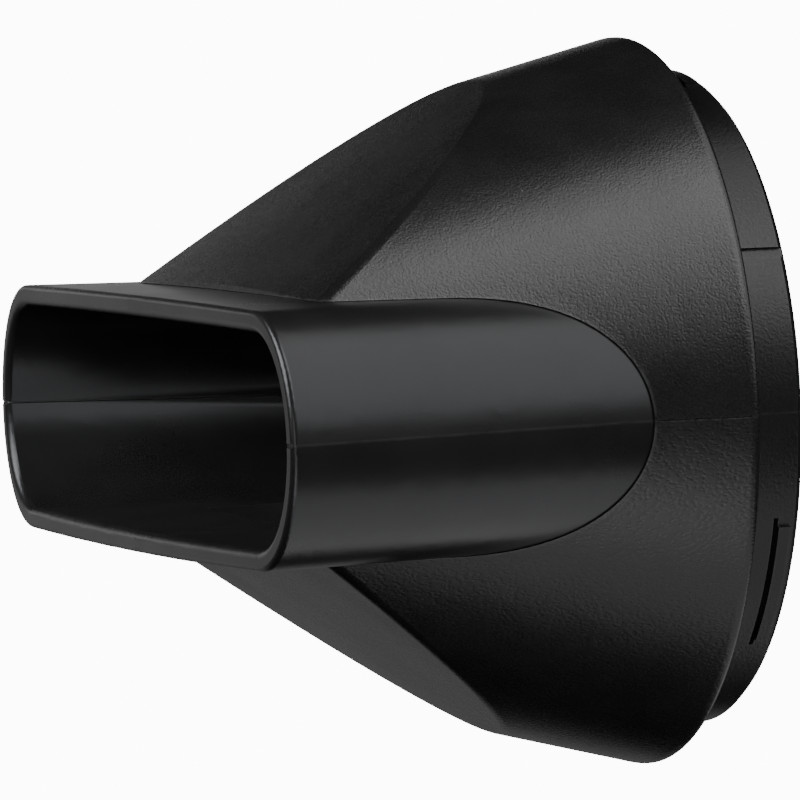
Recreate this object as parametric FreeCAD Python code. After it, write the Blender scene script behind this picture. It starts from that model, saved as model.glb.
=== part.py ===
"""Concentrator nozzle for a hair dryer: five plastic mouldings.

The nozzle is drawn along a working axis: X runs forward from the collar's rear face to the mouth,
Y runs across the slot and Z is up. The finished pieces are turned so that the mouth looks along -Y
and the slot lies along X. The origin is the centre of the collar's rear face, on the nozzle's axis.
All sizes are millimetres.
"""

import FreeCAD
import Part

import math
import os

Vector = FreeCAD.Vector

# Shield: the grained outer cone, a round lip that flattens towards the slot
LIP_RADIUS = 31.6
LIP_REAR = 5.1
LIP_CREST = 5.9
LIP_WALL = 2.1
LIP_ROUNDING = 0.5
CREST_ROUNDING = 2.0
HEIGHT_TAPER = 0.254
WIDTH_TAPER = 0.06
KNEE_FORWARD = 18.8
FACET_CROWN = 600.0
CREASE_ROUNDING = 1.6
SHIELD_WALL = 1.8
NOSE_THICKNESS = 0.45
NOSE_SETBACK = 7.83

# Duct: the smooth slot, flared towards the mouth
MOUTH_FORWARD = 49.9
MOUTH_HALF_WIDTH = 42.3
SLOT_HALF_HEIGHT = 10.8
SLOT_CROWN = 0.25
SLOT_FLARE = 0.32
END_ROUNDNESS = 0.86
MOUTH_BOW = 0.8
DUCT_WALL = 1.85
RIM_INNER_ROUNDING = 0.75
RIM_OUTER_ROUNDING = 0.45
AIR_GAP = 0.8
RIB_LENGTH = 1.5

# Collar: the ring that snaps into the dryer's barrel and turns in the lip
COLLAR_RADIUS = 28.25
COLLAR_WALL = 2.0
COLLAR_CHAMFER = 0.5
FLANGE_STEP = 0.9
FLANGE_THICKNESS = 1.8
BEAD_COUNT = 3
BEAD_ANGLE = -32.0
BEAD_SPAN = 24.0
BEAD_HEIGHT = 0.35
BEAD_REAR = 0.85
BEAD_WIDTH = 1.1
RELIEF_SLOT_WIDTH = 0.4
RELIEF_SLOT_SPAN = 27.0
INDEX_ANGLE = 28.5
INDEX_WIDTH = 0.9
INDEX_DEPTH = 0.3
NOTCH_ANGLE = 83.0
NOTCH_SIZE = 1.0

# Fits
TURNING_GAP = 0.3
END_FLOAT = 0.2
SEAT_CLEARANCE = 0.05
WING_CLEARANCE = 0.15
SEAM_GROOVE = 0.16

# Places that follow from the sizes above
SLOT_TOP = SLOT_HALF_HEIGHT + SLOT_CROWN
KNEE_HEIGHT = LIP_RADIUS - HEIGHT_TAPER * (KNEE_FORWARD - LIP_CREST)
NOSE_HEIGHT = SLOT_TOP + NOSE_THICKNESS
NOSE_FORWARD = MOUTH_FORWARD - NOSE_SETBACK
FACET_SLOPE = (KNEE_HEIGHT - NOSE_HEIGHT) / (NOSE_FORWARD - KNEE_FORWARD)
FACET_APEX = NOSE_FORWARD + NOSE_HEIGHT / FACET_SLOPE
COLLAR_BORE = COLLAR_RADIUS - COLLAR_WALL
GROOVE_REAR = LIP_REAR + LIP_WALL
FLANGE_REAR = GROOVE_REAR + END_FLOAT
FLANGE_FRONT = FLANGE_REAR + FLANGE_THICKNESS
FLANGE_RADIUS = COLLAR_RADIUS + FLANGE_STEP
GROOVE_FRONT = FLANGE_FRONT + END_FLOAT
DUCT_INSET = SHIELD_WALL + AIR_GAP
DUCT_REAR = GROOVE_FRONT + END_FLOAT
OVERRUN = 5.0
NEAR = 0.01
OFF_CENTRE = 0.37
WIDE = 2.0 * MOUTH_HALF_WIDTH


def round_wire(forward, radius):
    """The cone's round section at the lip, starting at the side as the ellipses do."""
    circle = Part.Circle(Vector(forward, 0, 0), Vector(1, 0, 0), radius)
    circle.XAxis = Vector(0, 1, 0)
    return Part.Wire([circle.toShape()])


def ellipse_wire(forward, half_width, half_height):
    """A section of the cone, square to the axis, wider than it is high."""
    centre = Vector(forward, 0, 0)
    side = Vector(forward, half_width, 0)
    top = Vector(forward, 0, half_height)
    return Part.Wire([Part.Ellipse(side, top, centre).toShape()])


def along_axis(radius, rear, front):
    return Part.makeCylinder(radius, front - rear, Vector(rear, 0, 0), Vector(1, 0, 0))


def cone_body(inset, front):
    """The flattening cone ahead of the lip's crest, lying inset inside the outer skin."""
    rear_radius = LIP_RADIUS - inset
    reach = front - LIP_CREST
    sections = [
        round_wire(LIP_CREST, rear_radius),
        ellipse_wire(front, rear_radius - WIDTH_TAPER * reach, rear_radius - HEIGHT_TAPER * reach),
    ]
    return Part.makeLoft(sections, True, True)


def facet_axis(side):
    """A point on the axis of one facet's slightly crowned surface, and that axis's direction."""
    fall = Vector(1, 0, -side * FACET_SLOPE).normalize()
    outward = Vector(FACET_SLOPE, 0, side).normalize()
    return Vector(FACET_APEX, 0, 0) - outward * FACET_CROWN, fall


def facet_wedge(inset):
    """The space between the two sloping facets, which are crowned across."""
    drums = []
    for side in (1, -1):
        centre, fall = facet_axis(side)
        start = centre - fall * WIDE
        drums.append(Part.makeCylinder(FACET_CROWN - inset, 2 * WIDE, start, fall))
    return drums[0].common(drums[1])


def faceted_cone(inset, front):
    return cone_body(inset, front).common(facet_wedge(inset))


def slot_wire(forward, half_width, half_height):
    """A slot section: slightly crowned long sides between two half ellipses."""
    flat = half_width - END_ROUNDNESS * half_height
    crown = half_height + SLOT_CROWN

    def point(across, up):
        return Vector(forward, across, up)

    def end(side):
        oval = Part.Ellipse(point(side * flat, half_height), point(side * half_width, 0), point(side * flat, 0))
        return Part.ArcOfEllipse(oval, 0, math.pi)

    edges = [
        Part.Arc(point(-flat, half_height), point(0, crown), point(flat, half_height)),
        end(1),
        Part.Arc(point(flat, -half_height), point(0, -crown), point(-flat, -half_height)),
        end(-1),
    ]
    return Part.Wire([edge.toShape() for edge in edges])


def slot_half_width(forward):
    return MOUTH_HALF_WIDTH - SLOT_FLARE * (MOUTH_FORWARD - forward)


def slot_body(rear, front, widen=0.0, heighten=0.0):
    """The flared slot between two places on the axis."""
    sections = []
    for forward in (rear, front):
        half_width = slot_half_width(forward) + widen
        sections.append(slot_wire(forward, half_width, SLOT_HALF_HEIGHT + heighten))
    return Part.makeLoft(sections, True, True)


def bow_cutter():
    """A large upright cylinder whose side is the bowed mouth."""
    radius = (MOUTH_HALF_WIDTH**2 + MOUTH_BOW**2) / (2 * MOUTH_BOW)
    height = 4 * SLOT_TOP
    centre = Vector(MOUTH_FORWARD + MOUTH_BOW - radius, 0, -height / 2)
    return Part.makeCylinder(radius, height, centre)


def seam_bar(start, end, size):
    """A thin square bar on edge that cuts a fine groove along a mid-plane seam."""
    direction = end.sub(start)
    bar = Part.makeBox(2 * size, 2 * size, direction.Length)
    bar.translate(Vector(-size, -size, 0))
    bar.rotate(Vector(), Vector(0, 0, 1), 45)
    bar.Placement = FreeCAD.Placement(start, FreeCAD.Rotation(Vector(0, 0, 1), direction)).multiply(
        bar.Placement
    )
    return bar


def upper_and_lower(shape):
    """The two halves of a shape, parted at the mid-plane."""
    size = 4 * WIDE
    above = Part.makeBox(size, size, size, Vector(-size / 2, -size / 2, 0))
    below = Part.makeBox(size, size, size, Vector(-size / 2, -size / 2, -size))
    return shape.common(above), shape.common(below)


def crease_edges(shape):
    """The edges where a facet plane meets the cone's curved skin."""
    found = []
    for edge in shape.Edges:
        inside = edge.valueAt(edge.FirstParameter + OFF_CENTRE * (edge.LastParameter - edge.FirstParameter))
        centre, fall = facet_axis(math.copysign(1, inside.z))
        on_facet = abs(inside.distanceToLine(centre, fall) - FACET_CROWN) < NEAR
        if on_facet and inside.x < NOSE_FORWARD - NEAR:
            found.append(edge)
    return found


def rings_at(shape, forward):
    """The edges that lie square to the axis at one place along it."""
    return [
        edge
        for edge in shape.Edges
        if abs(edge.BoundBox.XMin - forward) < NEAR and abs(edge.BoundBox.XMax - forward) < NEAR
    ]


def shield_skin():
    """The shield's outer form, with its rounded lip and soft creases."""
    cone = faceted_cone(0.0, NOSE_FORWARD + OVERRUN)
    trimmed = cone.common(along_axis(2 * LIP_RADIUS, 0, NOSE_FORWARD))
    creased = trimmed.makeFillet(CREASE_ROUNDING, crease_edges(trimmed))
    skin = creased.fuse(along_axis(LIP_RADIUS, LIP_REAR, LIP_CREST)).removeSplitter()
    crested = skin.makeFillet(CREST_ROUNDING, rings_at(skin, LIP_CREST))
    return crested.makeFillet(LIP_ROUNDING, rings_at(crested, LIP_REAR))


def shield():
    """Both shield halves as one shell, before it is parted."""
    collar_hole = along_axis(COLLAR_RADIUS + TURNING_GAP, LIP_REAR - OVERRUN, GROOVE_REAR)
    flange_groove = along_axis(FLANGE_RADIUS + TURNING_GAP, GROOVE_REAR, GROOVE_FRONT)
    rib_hole = faceted_cone(DUCT_INSET - SEAT_CLEARANCE, NOSE_FORWARD + OVERRUN)
    rib_front = GROOVE_FRONT + RIB_LENGTH
    hollow = faceted_cone(SHIELD_WALL, NOSE_FORWARD + OVERRUN)
    hollow = hollow.common(along_axis(2 * LIP_RADIUS, rib_front, NOSE_FORWARD + OVERRUN))
    wings = slot_body(DUCT_REAR, MOUTH_FORWARD, WING_CLEARANCE, SEAT_CLEARANCE)
    shell = shield_skin()
    for cutter in (collar_hole, flange_groove, rib_hole, hollow, wings):
        shell = shell.cut(cutter)
    for side in (-1, 1):
        crest = Vector(LIP_CREST, side * LIP_RADIUS, 0)
        reach = slot_half_width(NOSE_FORWARD) - LIP_RADIUS
        tip = Vector(LIP_CREST + reach, side * (LIP_RADIUS - WIDTH_TAPER * reach), 0)
        shell = shell.cut(seam_bar(crest, tip, SEAM_GROOVE / 2))
    return shell


def duct():
    """The slot and the funnel behind it as one shell, before it is parted."""
    front = MOUTH_FORWARD + OVERRUN
    behind_nose = along_axis(2 * LIP_RADIUS, DUCT_REAR, NOSE_FORWARD + OVERRUN)
    funnel = faceted_cone(DUCT_INSET, NOSE_FORWARD + OVERRUN).common(behind_nose)
    hollow = faceted_cone(DUCT_INSET + DUCT_WALL, NOSE_FORWARD + OVERRUN)
    outer = slot_body(DUCT_REAR, front).common(bow_cutter()).fuse(funnel)
    bore = slot_body(DUCT_REAR - OVERRUN, front, -DUCT_WALL, -DUCT_WALL)
    shell = outer.cut(bore).cut(hollow)
    shell = round_the_rim(shell)
    for side in (-1, 1):
        rear = Vector(DUCT_REAR, side * (slot_half_width(DUCT_REAR) - DUCT_WALL), 0)
        mouth = Vector(front, side * (slot_half_width(front) - DUCT_WALL), 0)
        shell = shell.cut(seam_bar(rear, mouth, SEAM_GROOVE / 2))
        inner_corner = Vector(MOUTH_FORWARD, side * (MOUTH_HALF_WIDTH - 2 * DUCT_WALL), 0)
        outer_corner = Vector(MOUTH_FORWARD, side * (MOUTH_HALF_WIDTH + DUCT_WALL), 0)
        shell = shell.cut(seam_bar(inner_corner, outer_corner, SEAM_GROOVE))
    return shell


def round_the_rim(shell):
    """Rounds the mouth's outer edges, and then its inner ones."""
    outer = [edge for edge in shell.Edges if on_rim(edge) and not in_bore(edge)]
    shell = shell.makeFillet(RIM_OUTER_ROUNDING, outer)
    inner = [edge for edge in shell.Edges if on_rim(edge) and in_bore(edge)]
    return shell.makeFillet(RIM_INNER_ROUNDING, inner)


def on_rim(edge):
    return edge.BoundBox.XMin > MOUTH_FORWARD - RIM_OUTER_ROUNDING


def in_bore(edge):
    """True for an edge that keeps nearer the duct's inner skin than its outer one."""
    box = edge.BoundBox
    reach = max(abs(box.YMax), abs(box.YMin))
    height = max(abs(box.ZMax), abs(box.ZMin))
    return reach < MOUTH_HALF_WIDTH - DUCT_WALL / 2 and height < SLOT_TOP - DUCT_WALL / 2


def ring_sector(inner, outer, rear, front, angle, span):
    """Part of a ring about the axis. Angles rise from +Y towards +Z."""
    blank = Part.makeCylinder(outer, front - rear, Vector(), Vector(0, 0, 1), span)
    blank = blank.cut(Part.makeCylinder(inner, front - rear))
    blank.rotate(Vector(), Vector(0, 0, 1), angle - span / 2)
    turn = FreeCAD.Rotation(Vector(0, 1, 0), Vector(0, 0, 1), Vector(1, 0, 0), "ZXY")
    blank.Placement = FreeCAD.Placement(Vector(rear, 0, 0), turn).multiply(blank.Placement)
    return blank


def collar():
    """The snap ring: a sleeve with a turning flange, raised beads and their relief slots."""
    ring = along_axis(COLLAR_RADIUS, 0, FLANGE_FRONT).fuse(
        along_axis(FLANGE_RADIUS, FLANGE_REAR, FLANGE_FRONT)
    )
    ring = ring.makeChamfer(COLLAR_CHAMFER, rings_at(ring, 0))
    for index in range(BEAD_COUNT):
        angle = BEAD_ANGLE + index * 360.0 / BEAD_COUNT
        ring = ring.fuse(snap_bead(angle))
        slot_rear = BEAD_REAR + BEAD_WIDTH
        slot_front = slot_rear + RELIEF_SLOT_WIDTH
        slot = ring_sector(
            COLLAR_BORE - 1, FLANGE_RADIUS, slot_rear, slot_front, angle, RELIEF_SLOT_SPAN
        )
        ring = ring.cut(slot)
    index_floor = COLLAR_RADIUS - INDEX_DEPTH
    index_span = math.degrees(INDEX_WIDTH / COLLAR_RADIUS)
    index_groove = ring_sector(
        index_floor, FLANGE_RADIUS, -1, FLANGE_REAR - END_FLOAT, INDEX_ANGLE, index_span
    )
    notch_span = math.degrees(NOTCH_SIZE / COLLAR_RADIUS)
    notch = ring_sector(
        COLLAR_RADIUS - NOTCH_SIZE, FLANGE_RADIUS, LIP_REAR - NOTCH_SIZE, LIP_REAR, NOTCH_ANGLE, notch_span
    )
    bore = along_axis(COLLAR_BORE, -1, FLANGE_FRONT + 1)
    return ring.cut(index_groove).cut(notch).cut(bore).removeSplitter()


def snap_bead(angle):
    """A raised bead that fades into the collar at its lower end."""
    root = COLLAR_RADIUS - BEAD_HEIGHT
    bead = ring_sector(
        root, COLLAR_RADIUS + BEAD_HEIGHT, BEAD_REAR, BEAD_REAR + BEAD_WIDTH, angle, BEAD_SPAN
    )
    offset = Vector(0, 0, BEAD_HEIGHT)
    offset = FreeCAD.Rotation(Vector(1, 0, 0), angle).multVec(offset)
    ramp = along_axis(COLLAR_RADIUS + BEAD_HEIGHT, 0, LIP_REAR)
    ramp.translate(offset)
    return bead.common(ramp)


def to_part_frame(shape):
    """Turns the working axis so that the mouth looks along -Y."""
    turned = shape.copy()
    turned.rotate(Vector(), Vector(0, 0, 1), -90)
    return turned


def pieces():
    upper_shield, lower_shield = upper_and_lower(shield())
    upper_duct, lower_duct = upper_and_lower(duct())
    return {
        "upper_shield": upper_shield,
        "lower_shield": lower_shield,
        "upper_duct": upper_duct,
        "lower_duct": lower_duct,
        "mounting_collar": collar(),
    }


def main():
    os.makedirs("parts", exist_ok=True)
    for name, shape in pieces().items():
        solid = to_part_frame(shape)
        print(name, "solids", len(solid.Solids), "valid", solid.isValid(), "volume", round(solid.Volume))
        solid.exportStep(f"parts/{name}.step")


main()
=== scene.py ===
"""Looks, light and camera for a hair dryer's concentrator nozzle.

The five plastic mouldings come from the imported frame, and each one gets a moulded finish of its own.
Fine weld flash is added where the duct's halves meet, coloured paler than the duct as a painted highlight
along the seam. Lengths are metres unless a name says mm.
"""

from __future__ import annotations

import logging
import math
from dataclasses import dataclass
from enum import Enum
from typing import Any, Iterable, Union

import bmesh
import bpy
from mathutils import Matrix, Vector
from mathutils.bvhtree import BVHTree

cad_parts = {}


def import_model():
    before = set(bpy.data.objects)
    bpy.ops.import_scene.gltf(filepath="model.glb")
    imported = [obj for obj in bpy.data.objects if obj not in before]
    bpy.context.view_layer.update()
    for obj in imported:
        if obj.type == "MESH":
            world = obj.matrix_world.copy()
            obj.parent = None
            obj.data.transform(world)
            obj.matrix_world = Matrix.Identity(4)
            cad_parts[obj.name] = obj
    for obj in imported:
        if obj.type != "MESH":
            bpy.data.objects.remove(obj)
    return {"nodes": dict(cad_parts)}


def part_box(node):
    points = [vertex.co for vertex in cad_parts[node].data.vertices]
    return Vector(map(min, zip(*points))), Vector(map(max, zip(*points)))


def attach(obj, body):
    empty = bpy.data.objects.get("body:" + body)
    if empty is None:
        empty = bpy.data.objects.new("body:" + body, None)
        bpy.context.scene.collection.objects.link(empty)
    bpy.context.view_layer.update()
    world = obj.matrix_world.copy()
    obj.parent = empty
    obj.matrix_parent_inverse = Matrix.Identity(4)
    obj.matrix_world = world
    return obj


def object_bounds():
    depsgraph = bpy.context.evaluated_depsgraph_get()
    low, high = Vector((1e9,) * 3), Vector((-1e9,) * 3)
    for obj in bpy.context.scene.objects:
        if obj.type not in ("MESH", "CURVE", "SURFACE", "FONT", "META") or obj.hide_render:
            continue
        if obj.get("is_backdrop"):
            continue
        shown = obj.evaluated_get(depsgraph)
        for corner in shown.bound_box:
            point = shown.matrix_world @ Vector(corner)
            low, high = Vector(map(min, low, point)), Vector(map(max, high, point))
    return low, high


log = logging.getLogger("nozzle")

MM = 0.001
Colour = tuple[float, float, float]
Value = Union["Signal", float]


class Signal:
    """A shader socket that takes part in Python arithmetic."""

    def __init__(self, sheet: "Sheet", socket: bpy.types.NodeSocket) -> None:
        """Keeps the socket and the sheet it belongs to."""
        self.sheet = sheet
        self.socket = socket

    def _math(self, operation: str, first: Value, second: Value) -> "Signal":
        """One Math node on two values."""
        return self.sheet.node("ShaderNodeMath", {"operation": operation}, {0: first, 1: second})

    def __add__(self, other: Value) -> "Signal":
        """self + other."""
        return self._math("ADD", self, other)

    __radd__ = __add__

    def __sub__(self, other: Value) -> "Signal":
        """self - other."""
        return self._math("SUBTRACT", self, other)

    def __rsub__(self, other: Value) -> "Signal":
        """other - self."""
        return self._math("SUBTRACT", other, self)

    def __mul__(self, other: Value) -> "Signal":
        """self * other."""
        return self._math("MULTIPLY", self, other)

    __rmul__ = __mul__

    def __abs__(self) -> "Signal":
        """The size of the value, without its sign."""
        return self.sheet.node("ShaderNodeMath", {"operation": "ABSOLUTE"}, {0: self})

    def ramp(self, low: float, high: float, start: float = 0.0, end: float = 1.0) -> "Signal":
        """Runs smoothly from one number to another.

        Args:
            low: the value at which the run starts.
            high: the value at which it ends.
            start: what comes out at and below low.
            end: what comes out at and above high.

        Returns:
            The smoothed value.
        """
        settings = {"interpolation_type": "SMOOTHSTEP"}
        inputs = {"Value": self, "From Min": low, "From Max": high, "To Min": start, "To Max": end}
        return self.sheet.node("ShaderNodeMapRange", settings, inputs)


class Sheet:
    """The node tree of one material."""

    def __init__(self, name: str) -> None:
        """Makes an empty material of that name."""
        self.material = bpy.data.materials.new(name)
        self.material.use_nodes = True
        self.tree = self.material.node_tree
        self.tree.nodes.clear()

    def node(
        self,
        kind: str,
        settings: dict[str, Any] | None = None,
        inputs: dict[Union[str, int], Any] | None = None,
        output: Union[str, int] = 0,
    ) -> Signal:
        """Adds one node.

        Args:
            kind: the node's type.
            settings: the node's own properties, which are set first.
            inputs: numbers, colours or signals for its input sockets.
            output: the output socket to hand back.

        Returns:
            The chosen output as a signal.
        """
        made = self.tree.nodes.new(kind)
        for name, setting in (settings or {}).items():
            setattr(made, name, setting)
        for key, value in (inputs or {}).items():
            if isinstance(value, Signal):
                self.tree.links.new(value.socket, made.inputs[key])
            else:
                made.inputs[key].default_value = value
        return Signal(self, made.outputs[output]) if len(made.outputs) else Signal(self, made.inputs[0])

    def mix(self, factor: Value, first: Any, second: Any) -> Signal:
        """A colour between two colours."""
        settings = {"data_type": "RGBA"}
        inputs = {"Factor": factor, 6: first, 7: second}
        return self.node("ShaderNodeMix", settings, inputs, output=2)

    def vector(self, operation: str, first: Any, second: Any, output: Union[str, int] = 0) -> Signal:
        """One Vector Math node on two vectors."""
        return self.node("ShaderNodeVectorMath", {"operation": operation}, {0: first, 1: second}, output)


class Grain(Enum):
    """The textures that the moulds of this nozzle leave on the plastic."""

    ERODED = "eroded"
    SATIN = "satin"
    FINE = "fine"


@dataclass(frozen=True)
class MouldedPlastic:
    """Near-black moulded plastic: mottled colour, mould grain, worn edges, lint and a parting line."""

    name: str
    grain: Grain
    colour: Colour
    pale_colour: Colour
    roughness: float
    grain_mm: float
    depth_mm: float
    stretch: tuple[float, float, float] = (1.0, 1.0, 1.0)
    specular_tint: Colour = (1.0, 1.0, 1.0)
    specular_level: float = 0.5
    unevenness_mm: float = 0.003
    edge_mm: float = 0.35
    edge_wear: float = 0.35
    parting_mm: float = 0.07
    wear_colour: Colour = (0.11, 0.11, 0.115)

    def dress(self, piece: bpy.types.Object) -> None:
        """Gives a piece this finish."""
        made = bpy.data.materials.get(self.name) or self._material()
        piece.data.materials.clear()
        piece.data.materials.append(made)

    def _material(self) -> bpy.types.Material:
        """Builds the whole material."""
        sheet = Sheet(self.name)
        place = self._place(sheet)
        level = abs(sheet.node("ShaderNodeSeparateXYZ", {}, {0: place}, output="Z"))
        height = self._grain_height(sheet, place)
        mottle = self._noise(sheet, place, 7.0, 4.0)
        smudge = self._noise(sheet, place, 16.0, 2.0)
        wear = self._wear(sheet, place, level)
        lint = self._lint(sheet, place)
        parting = self._parting(sheet, place, level)

        base = sheet.mix(mottle.ramp(0.3, 0.7), (*self.colour, 1.0), (*self.pale_colour, 1.0))
        base = sheet.mix(wear * self.edge_wear, base, (*self.wear_colour, 1.0))
        base = sheet.mix(parting * 0.12, base, (*self.wear_colour, 1.0))
        base = sheet.mix(lint, base, (0.32, 0.32, 0.33, 1.0))
        rough = self.roughness + (smudge - 0.5) * 0.10 + (height - 0.5) * 0.06 - wear * 0.06
        bump = self._bump(sheet, place, height)

        surface = sheet.node(
            "ShaderNodeBsdfPrincipled",
            {},
            {
                "Base Color": base,
                "Roughness": rough,
                "Normal": bump,
                "IOR": 1.5,
                "Specular IOR Level": self.specular_level,
                "Specular Tint": (*self.specular_tint, 1.0),
            },
        )
        sheet.node("ShaderNodeOutputMaterial", {}, {"Surface": surface})
        return sheet.material

    def _place(self, sheet: Sheet) -> Signal:
        """The place on the part, in millimetres."""
        place = sheet.node("ShaderNodeTexCoord", output="Object")
        return sheet.vector("MULTIPLY", place, (1 / MM,) * 3)

    def _noise(self, sheet: Sheet, place: Signal, size_mm: float, detail: float) -> Signal:
        """Soft noise with blotches of about that size."""
        inputs = {"Vector": place, "Scale": 1 / size_mm, "Detail": detail, "Roughness": 0.55}
        return sheet.node("ShaderNodeTexNoise", {}, inputs, output=0)

    def _grain_height(self, sheet: Sheet, place: Signal) -> Signal:
        """Height of the mould's grain, from 0 to 1."""
        drawn = sheet.vector("MULTIPLY", place, tuple(1 / s for s in self.stretch))
        fine = self._noise(sheet, drawn, self.grain_mm, 2.0)
        if self.grain is Grain.SATIN:
            return fine
        inputs = {"Vector": drawn, "Scale": 1 / (1.6 * self.grain_mm), "Smoothness": 0.6, "Randomness": 1.0}
        cells = sheet.node("ShaderNodeTexVoronoi", {"feature": "SMOOTH_F1"}, inputs, output="Distance")
        share = 0.55 if self.grain is Grain.ERODED else 0.3
        return cells.ramp(0.1, 0.75) * share + fine.ramp(0.3, 0.7) * (1.0 - share)

    def _bump(self, sheet: Sheet, place: Signal, height: Signal) -> Signal:
        """The surface normal with grain over a slight moulded unevenness."""
        waves = self._noise(sheet, place, 3.2, 2.0)
        inputs = {"Strength": 0.6, "Distance": self.unevenness_mm * MM, "Height": waves}
        uneven = sheet.node("ShaderNodeBump", {}, inputs)
        inputs = {"Strength": 1.0, "Distance": self.depth_mm * MM, "Height": height, "Normal": uneven}
        return sheet.node("ShaderNodeBump", {}, inputs)

    def _wear(self, sheet: Sheet, place: Signal, level: Signal) -> Signal:
        """Where edges are rubbed: high on sharp edges away from the mid-plane, broken up by noise."""
        rounded = sheet.node("ShaderNodeBevel", {"samples": 4}, {"Radius": self.edge_mm * MM})
        true = sheet.node("ShaderNodeNewGeometry", output="Normal")
        turned = sheet.vector("DOT_PRODUCT", rounded, true, output="Value")
        patches = self._noise(sheet, place, 1.4, 3.0).ramp(0.35, 0.65, 0.35, 1.0)
        return (1.0 - turned).ramp(0.02, 0.25) * patches * level.ramp(0.2, 0.7)

    def _lint(self, sheet: Sheet, place: Signal) -> Signal:
        """A few specks of dust, each well under half a millimetre."""
        inputs = {"Vector": place, "Scale": 1 / 5.5, "Randomness": 1.0}
        near = sheet.node("ShaderNodeTexVoronoi", {}, inputs, output="Distance")
        inputs = {"Vector": place, "Scale": 1 / 5.5, "Randomness": 1.0}
        pick = sheet.node("ShaderNodeTexVoronoi", {}, inputs, output="Color")
        chosen = sheet.node("ShaderNodeSeparateColor", {}, {0: pick}).ramp(0.70, 0.72)
        return near.ramp(0.012, 0.022, 1.0, 0.0) * chosen * 0.8

    def _parting(self, sheet: Sheet, place: Signal, level: Signal) -> Signal:
        """The parting line along the mid-plane, faintly polished and uneven."""
        broken = self._noise(sheet, place, 2.5, 2.0).ramp(0.3, 0.6, 0.3, 1.0)
        return level.ramp(self.parting_mm, 2.5 * self.parting_mm, 1.0, 0.0) * broken


@dataclass
class Shield:
    """The grained outer cone: two clamshell halves that meet at the mid-plane."""

    upper: MouldedPlastic = MouldedPlastic(
        name="upper_shield_grain",
        grain=Grain.ERODED,
        colour=(0.0085, 0.0085, 0.0088),
        pale_colour=(0.0125, 0.0125, 0.0128),
        roughness=0.27,
        grain_mm=0.16,
        depth_mm=0.012,
    )
    lower: MouldedPlastic = MouldedPlastic(
        name="lower_shield_grain",
        grain=Grain.ERODED,
        colour=(0.0085, 0.0085, 0.0088),
        pale_colour=(0.0125, 0.0125, 0.0128),
        roughness=0.28,
        grain_mm=0.16,
        depth_mm=0.012,
        stretch=(1.0, 1.7, 1.0),
    )
    slot: str = "grained_plastic"

    def build(self, nodes: dict[str, bpy.types.Object]) -> None:
        """Dresses both halves.

        Args:
            nodes: the frame's own pieces by name.
        """
        for name, finish in (("upper_shield", self.upper), ("lower_shield", self.lower)):
            finish.dress(nodes[name])
            log.info("%s dressed in %s", name, finish.name)


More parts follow.
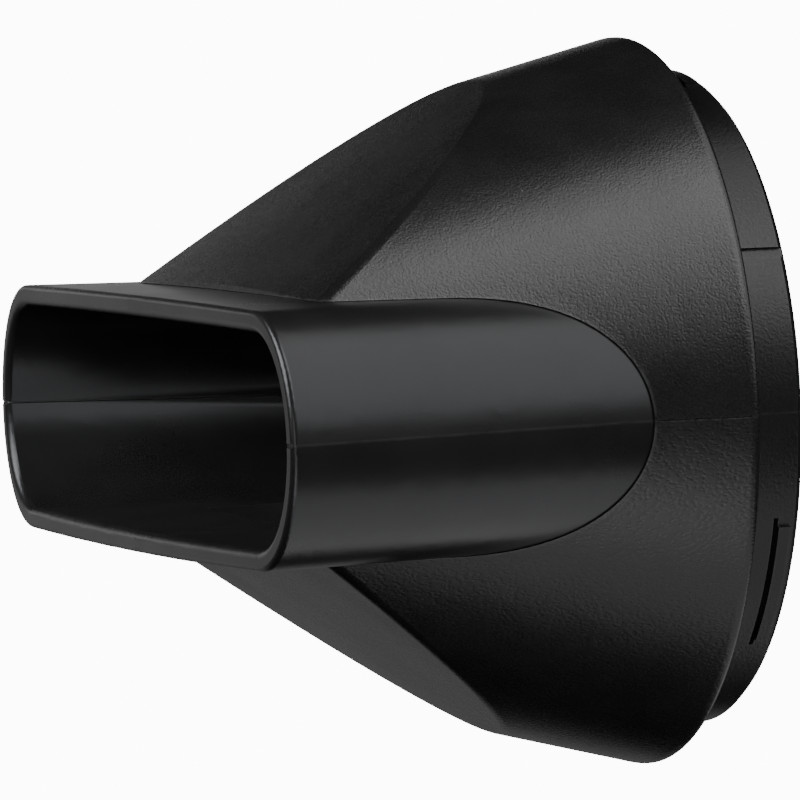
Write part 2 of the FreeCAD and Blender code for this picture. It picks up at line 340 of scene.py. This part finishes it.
@dataclass
class Duct:
    """The smooth slot and its funnel, with the flash that the weld leaves inside and on the rim, coloured
    paler as a painted highlight.
    """

    flash_half_width: float = 0.09 * MM
    flash_height: float = 0.07 * MM
    root_depth: float = 0.06 * MM
    wall_level: float = 0.14 * MM
    mouth_margin: float = 1.1 * MM
    rear_margin: float = 1.5 * MM
    stations: int = 60
    rim_stations: int = 14
    finish: MouldedPlastic = MouldedPlastic(
        name="duct_satin",
        grain=Grain.SATIN,
        colour=(0.0102, 0.0102, 0.0104),
        pale_colour=(0.0140, 0.0140, 0.0142),
        roughness=0.29,
        grain_mm=0.20,
        depth_mm=0.005,
        specular_tint=(0.94, 0.96, 1.0),
    )
    # The flash ridge is real geometry; its paler colour is a painted highlight along the seam.
    flash_painted_highlight_finish: MouldedPlastic = MouldedPlastic(
        name="weld_flash_painted_highlight",
        grain=Grain.SATIN,
        colour=(0.030, 0.030, 0.032),
        pale_colour=(0.045, 0.045, 0.047),
        roughness=0.30,
        grain_mm=0.30,
        depth_mm=0.004,
    )
    slot: str = "satin_plastic"

    def build(self, nodes: dict[str, bpy.types.Object]) -> None:
        """Dresses both halves and adds the weld flash.

        Args:
            nodes: the frame's own pieces by name.
        """
        for name in ("upper_duct", "lower_duct"):
            self.finish.dress(nodes[name])
            log.info("%s dressed in %s", name, self.finish.name)
        skin = self._skin(nodes["upper_duct"])
        low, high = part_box("upper_duct")
        for side, word in ((1.0, "near"), (-1.0, "far")):
            wall = self._wall_line(skin, side, low.y + self.mouth_margin, high.y - self.rear_margin)
            rim = self._rim_line(skin, side, low.y, high.x)
            self._flash(f"{word}_wall_flash", wall, Vector((-side, 0.0, 0.0)))
            self._flash(f"{word}_rim_flash", rim, Vector((0.0, -1.0, 0.0)))

    def _skin(self, node: bpy.types.Object) -> BVHTree:
        """The node's surface, ready for finding points on it."""
        points = [v.co.copy() for v in node.data.vertices]
        faces = [tuple(p.vertices) for p in node.data.polygons]
        return BVHTree.FromPolygons(points, faces)

    def _wall_line(self, skin: BVHTree, side: float, front: float, rear: float) -> list[Vector]:
        """Points down the inside of one end wall.

        Args:
            skin: the upper duct's surface.
            side: 1 for the near end, -1 for the far one.
            front: where the line starts, along Y.
            rear: where it ends, along Y.

        Returns:
            The points, from front to rear, at mid-height.
        """
        line = []
        for step in range(self.stations + 1):
            y = front + (rear - front) * step / self.stations
            hit = skin.ray_cast(Vector((0.0, y, self.wall_level)), Vector((side, 0.0, 0.0)))[0]
            if hit is not None:
                line.append(Vector((hit.x, y, 0.0)))
        return line

    def _rim_line(self, skin: BVHTree, side: float, front: float, reach: float) -> list[Vector]:
        """Points across the rim at one end of the mouth.

        Args:
            skin: the upper duct's surface.
            side: 1 for the near end, -1 for the far one.
            front: the furthest place forward, along Y.
            reach: the half width of the mouth.

        Returns:
            The points, from the bore outwards, at mid-height.
        """
        line = []
        rim = 1.7 * MM
        for step in range(self.rim_stations + 1):
            x = side * (reach - rim * (1 - step / self.rim_stations) - 0.12 * MM)
            start = Vector((x, front - 5 * MM, self.wall_level))
            hit = skin.ray_cast(start, Vector((0.0, 1.0, 0.0)), 8 * MM)[0]
            if hit is not None:
                line.append(Vector((x, hit.y, 0.0)))
        return line

    def _flash(self, name: str, line: list[Vector], outward: Vector) -> bpy.types.Object:
        """A low three-sided ridge along a line.

        Args:
            name: the piece's name.
            line: points on the skin at mid-height.
            outward: the way the ridge stands.

        Returns:
            The finished piece, riding with the nozzle.
        """
        up = Vector((0.0, 0.0, self.flash_half_width))
        mesh = bmesh.new()
        rows = []
        last = len(line) - 1
        for index, point in enumerate(line):
            taper = min(1.0, 2.5 * min(index, last - index) / last + 0.15)
            root = point - outward * self.root_depth
            crest = point + outward * self.flash_height * taper
            rows.append([mesh.verts.new(p) for p in (root + up, crest, root - up)])
        for before, after in zip(rows, rows[1:]):
            for k in range(3):
                mesh.faces.new((before[k], before[(k + 1) % 3], after[(k + 1) % 3], after[k]))
        mesh.faces.new(rows[0][::-1])
        mesh.faces.new(rows[-1])
        bmesh.ops.recalc_face_normals(mesh, faces=mesh.faces)
        data = bpy.data.meshes.new(name)
        mesh.to_mesh(data)
        mesh.free()
        piece = bpy.data.objects.new(name, data)
        bpy.context.scene.collection.objects.link(piece)
        # Dressed in the paler flash finish, a painted highlight on the ridge.
        self.flash_painted_highlight_finish.dress(piece)
        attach(piece, "nozzle")
        log.info("%s: %d stations", name, len(line))
        return piece


@dataclass
class Collar:
    """The snap ring that turns inside the shield's lip."""

    finish: MouldedPlastic = MouldedPlastic(
        name="collar_grain",
        grain=Grain.FINE,
        colour=(0.0085, 0.0085, 0.0088),
        pale_colour=(0.0115, 0.0115, 0.0118),
        roughness=0.30,
        grain_mm=0.24,
        depth_mm=0.010,
        specular_level=0.36,
        parting_mm=0.05,
    )
    slot: str = "collar_plastic"

    def build(self, nodes: dict[str, bpy.types.Object]) -> None:
        """Dresses the ring.

        Args:
            nodes: the frame's own pieces by name.
        """
        self.finish.dress(nodes["mounting_collar"])
        log.info("mounting_collar dressed in %s", self.finish.name)


@dataclass(frozen=True)
class Softbox:
    """One rectangular light that looks at the nozzle."""

    name: str
    azimuth: float
    elevation: float
    distance: float
    width: float
    height: float
    watts: float
    colour: Colour = (1.0, 1.0, 1.0)

    def place(self, centre: Vector) -> None:
        """Hangs the light round a centre.

        Args:
            centre: the point that the light looks at.
        """
        data = bpy.data.lights.new(self.name, "AREA")
        data.shape = "RECTANGLE"
        data.size, data.size_y = self.width, self.height
        data.energy, data.color = self.watts, self.colour
        light = bpy.data.objects.new(self.name, data)
        bpy.context.scene.collection.objects.link(light)
        turn, rise = math.radians(self.azimuth), math.radians(self.elevation)
        back = Vector((math.cos(turn) * math.cos(rise), -math.sin(turn) * math.cos(rise), math.sin(rise)))
        light.location = centre + back * self.distance
        light.rotation_mode = "QUATERNION"
        light.rotation_quaternion = (-back).to_track_quat("-Z", "Y")
        light.visible_camera = False
        light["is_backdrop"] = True


@dataclass
class Studio:
    """A pale floor and surround, soft light from above and below, and the camera."""

    centre: Vector
    floor_level: float
    floor_radius: float = 30.0
    floor_glow: float = 12.0
    camera_distance: float = 0.8372
    camera_azimuth: float = 18.54
    camera_elevation: float = 3.14
    camera_roll: float = -1.61
    camera_lens: float = 436.5
    slide_left: float = 1.34 * MM
    slide_up: float = 0.89 * MM
    boxes: tuple[Softbox, ...] = (
        Softbox("upper_softbox", -57.0, 43.0, 0.80, 0.95, 1.15, 5.0),
        Softbox("key_softbox", -27.0, 53.0, 0.80, 0.28, 0.88, 1.9),
        Softbox("lower_softbox", -60.0, -53.0, 0.80, 2.20, 0.65, 3.9),
        Softbox("fill_softbox", 6.0, -26.0, 0.80, 0.50, 0.46, 1.00),
        Softbox("front_softbox", 24.0, 5.0, 0.80, 0.35, 0.30, 0.60),
        Softbox("front_top_softbox", 88.0, 34.0, 0.60, 0.60, 0.40, 5.0),
        Softbox("far_softbox", 182.0, 9.0, 1.00, 1.00, 0.16, 0.24),
        Softbox("far_low_softbox", 182.0, -14.0, 1.00, 1.00, 0.80, 0.50),
        Softbox("mouth_softbox", 154.0, -3.0, 0.90, 0.50, 0.50, 0.15),
    )

    def build(self) -> None:
        """Sets up the floor, the surround, the lights and the camera."""
        self._floor()
        self._surround()
        for box in self.boxes:
            box.place(self.centre)
            log.info("%s placed", box.name)
        self._camera()

    def _floor(self) -> None:
        """A wide pale floor under the nozzle, unseen by its reflections."""
        mesh = bmesh.new()
        bmesh.ops.create_circle(mesh, cap_ends=True, segments=96, radius=self.floor_radius)
        data = bpy.data.meshes.new("floor")
        mesh.to_mesh(data)
        mesh.free()
        floor = bpy.data.objects.new("floor", data)
        floor.location = (self.centre.x, self.centre.y, self.floor_level)
        bpy.context.scene.collection.objects.link(floor)
        sheet = Sheet("pale_floor")
        glow = sheet.node("ShaderNodeEmission", {}, {"Color": (1, 1, 1, 1), "Strength": self.floor_glow})
        sheet.node("ShaderNodeOutputMaterial", {}, {"Surface": glow})
        data.materials.append(sheet.material)
        floor.visible_glossy = floor.visible_diffuse = floor.visible_shadow = False
        floor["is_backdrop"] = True
        log.info("floor laid at %.4f", self.floor_level)

    def _surround(self) -> None:
        """A pale surround that the glossy plastic doesn't mirror."""
        world = bpy.data.worlds.new("surround")
        bpy.context.scene.world = world
        world.use_nodes = True
        background = world.node_tree.nodes["Background"]
        background.inputs["Color"].default_value = (1.0, 1.0, 1.0, 1.0)
        background.inputs["Strength"].default_value = self.floor_glow
        world.cycles_visibility.glossy = False
        world.cycles_visibility.diffuse = False
        log.info("surround set")

    def _camera(self) -> None:
        """A long lens from the near side, a little ahead of the nozzle's side and above it."""
        turn, rise = math.radians(self.camera_azimuth), math.radians(self.camera_elevation)
        back = Vector((math.cos(turn) * math.cos(rise), -math.sin(turn) * math.cos(rise), math.sin(rise)))
        level = Vector((math.sin(turn), math.cos(turn), 0.0))
        upright = back.cross(level)
        roll = math.radians(self.camera_roll)
        right = level * math.cos(roll) + upright * math.sin(roll)
        up = upright * math.cos(roll) - level * math.sin(roll)
        data = bpy.data.cameras.new("camera")
        data.lens, data.sensor_width = self.camera_lens, 36.0
        data.clip_start, data.clip_end = 0.01, 100.0
        camera = bpy.data.objects.new("camera", data)
        bpy.context.scene.collection.objects.link(camera)
        place = self.centre + back * self.camera_distance - right * self.slide_left + up * self.slide_up
        turned = Matrix((right, up, back)).transposed().to_4x4()
        camera.matrix_world = Matrix.Translation(place) @ turned
        bpy.context.scene.camera = camera
        log.info("camera placed %.3f from the nozzle", self.camera_distance)


def main() -> None:
    """Builds the looks round the frame, one sub-assembly after the other."""
    logging.basicConfig(level=logging.INFO, format="%(name)s: %(message)s")
    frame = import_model()
    frame_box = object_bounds()
    nodes = frame["nodes"]
    for assembly in (Shield(), Duct(), Collar()):
        assembly.build(nodes)
    low, _ = frame_box
    Studio(centre=Vector((0.0, -0.025, 0.0)), floor_level=low.z).build()


if __name__ == "__main__":
    main()
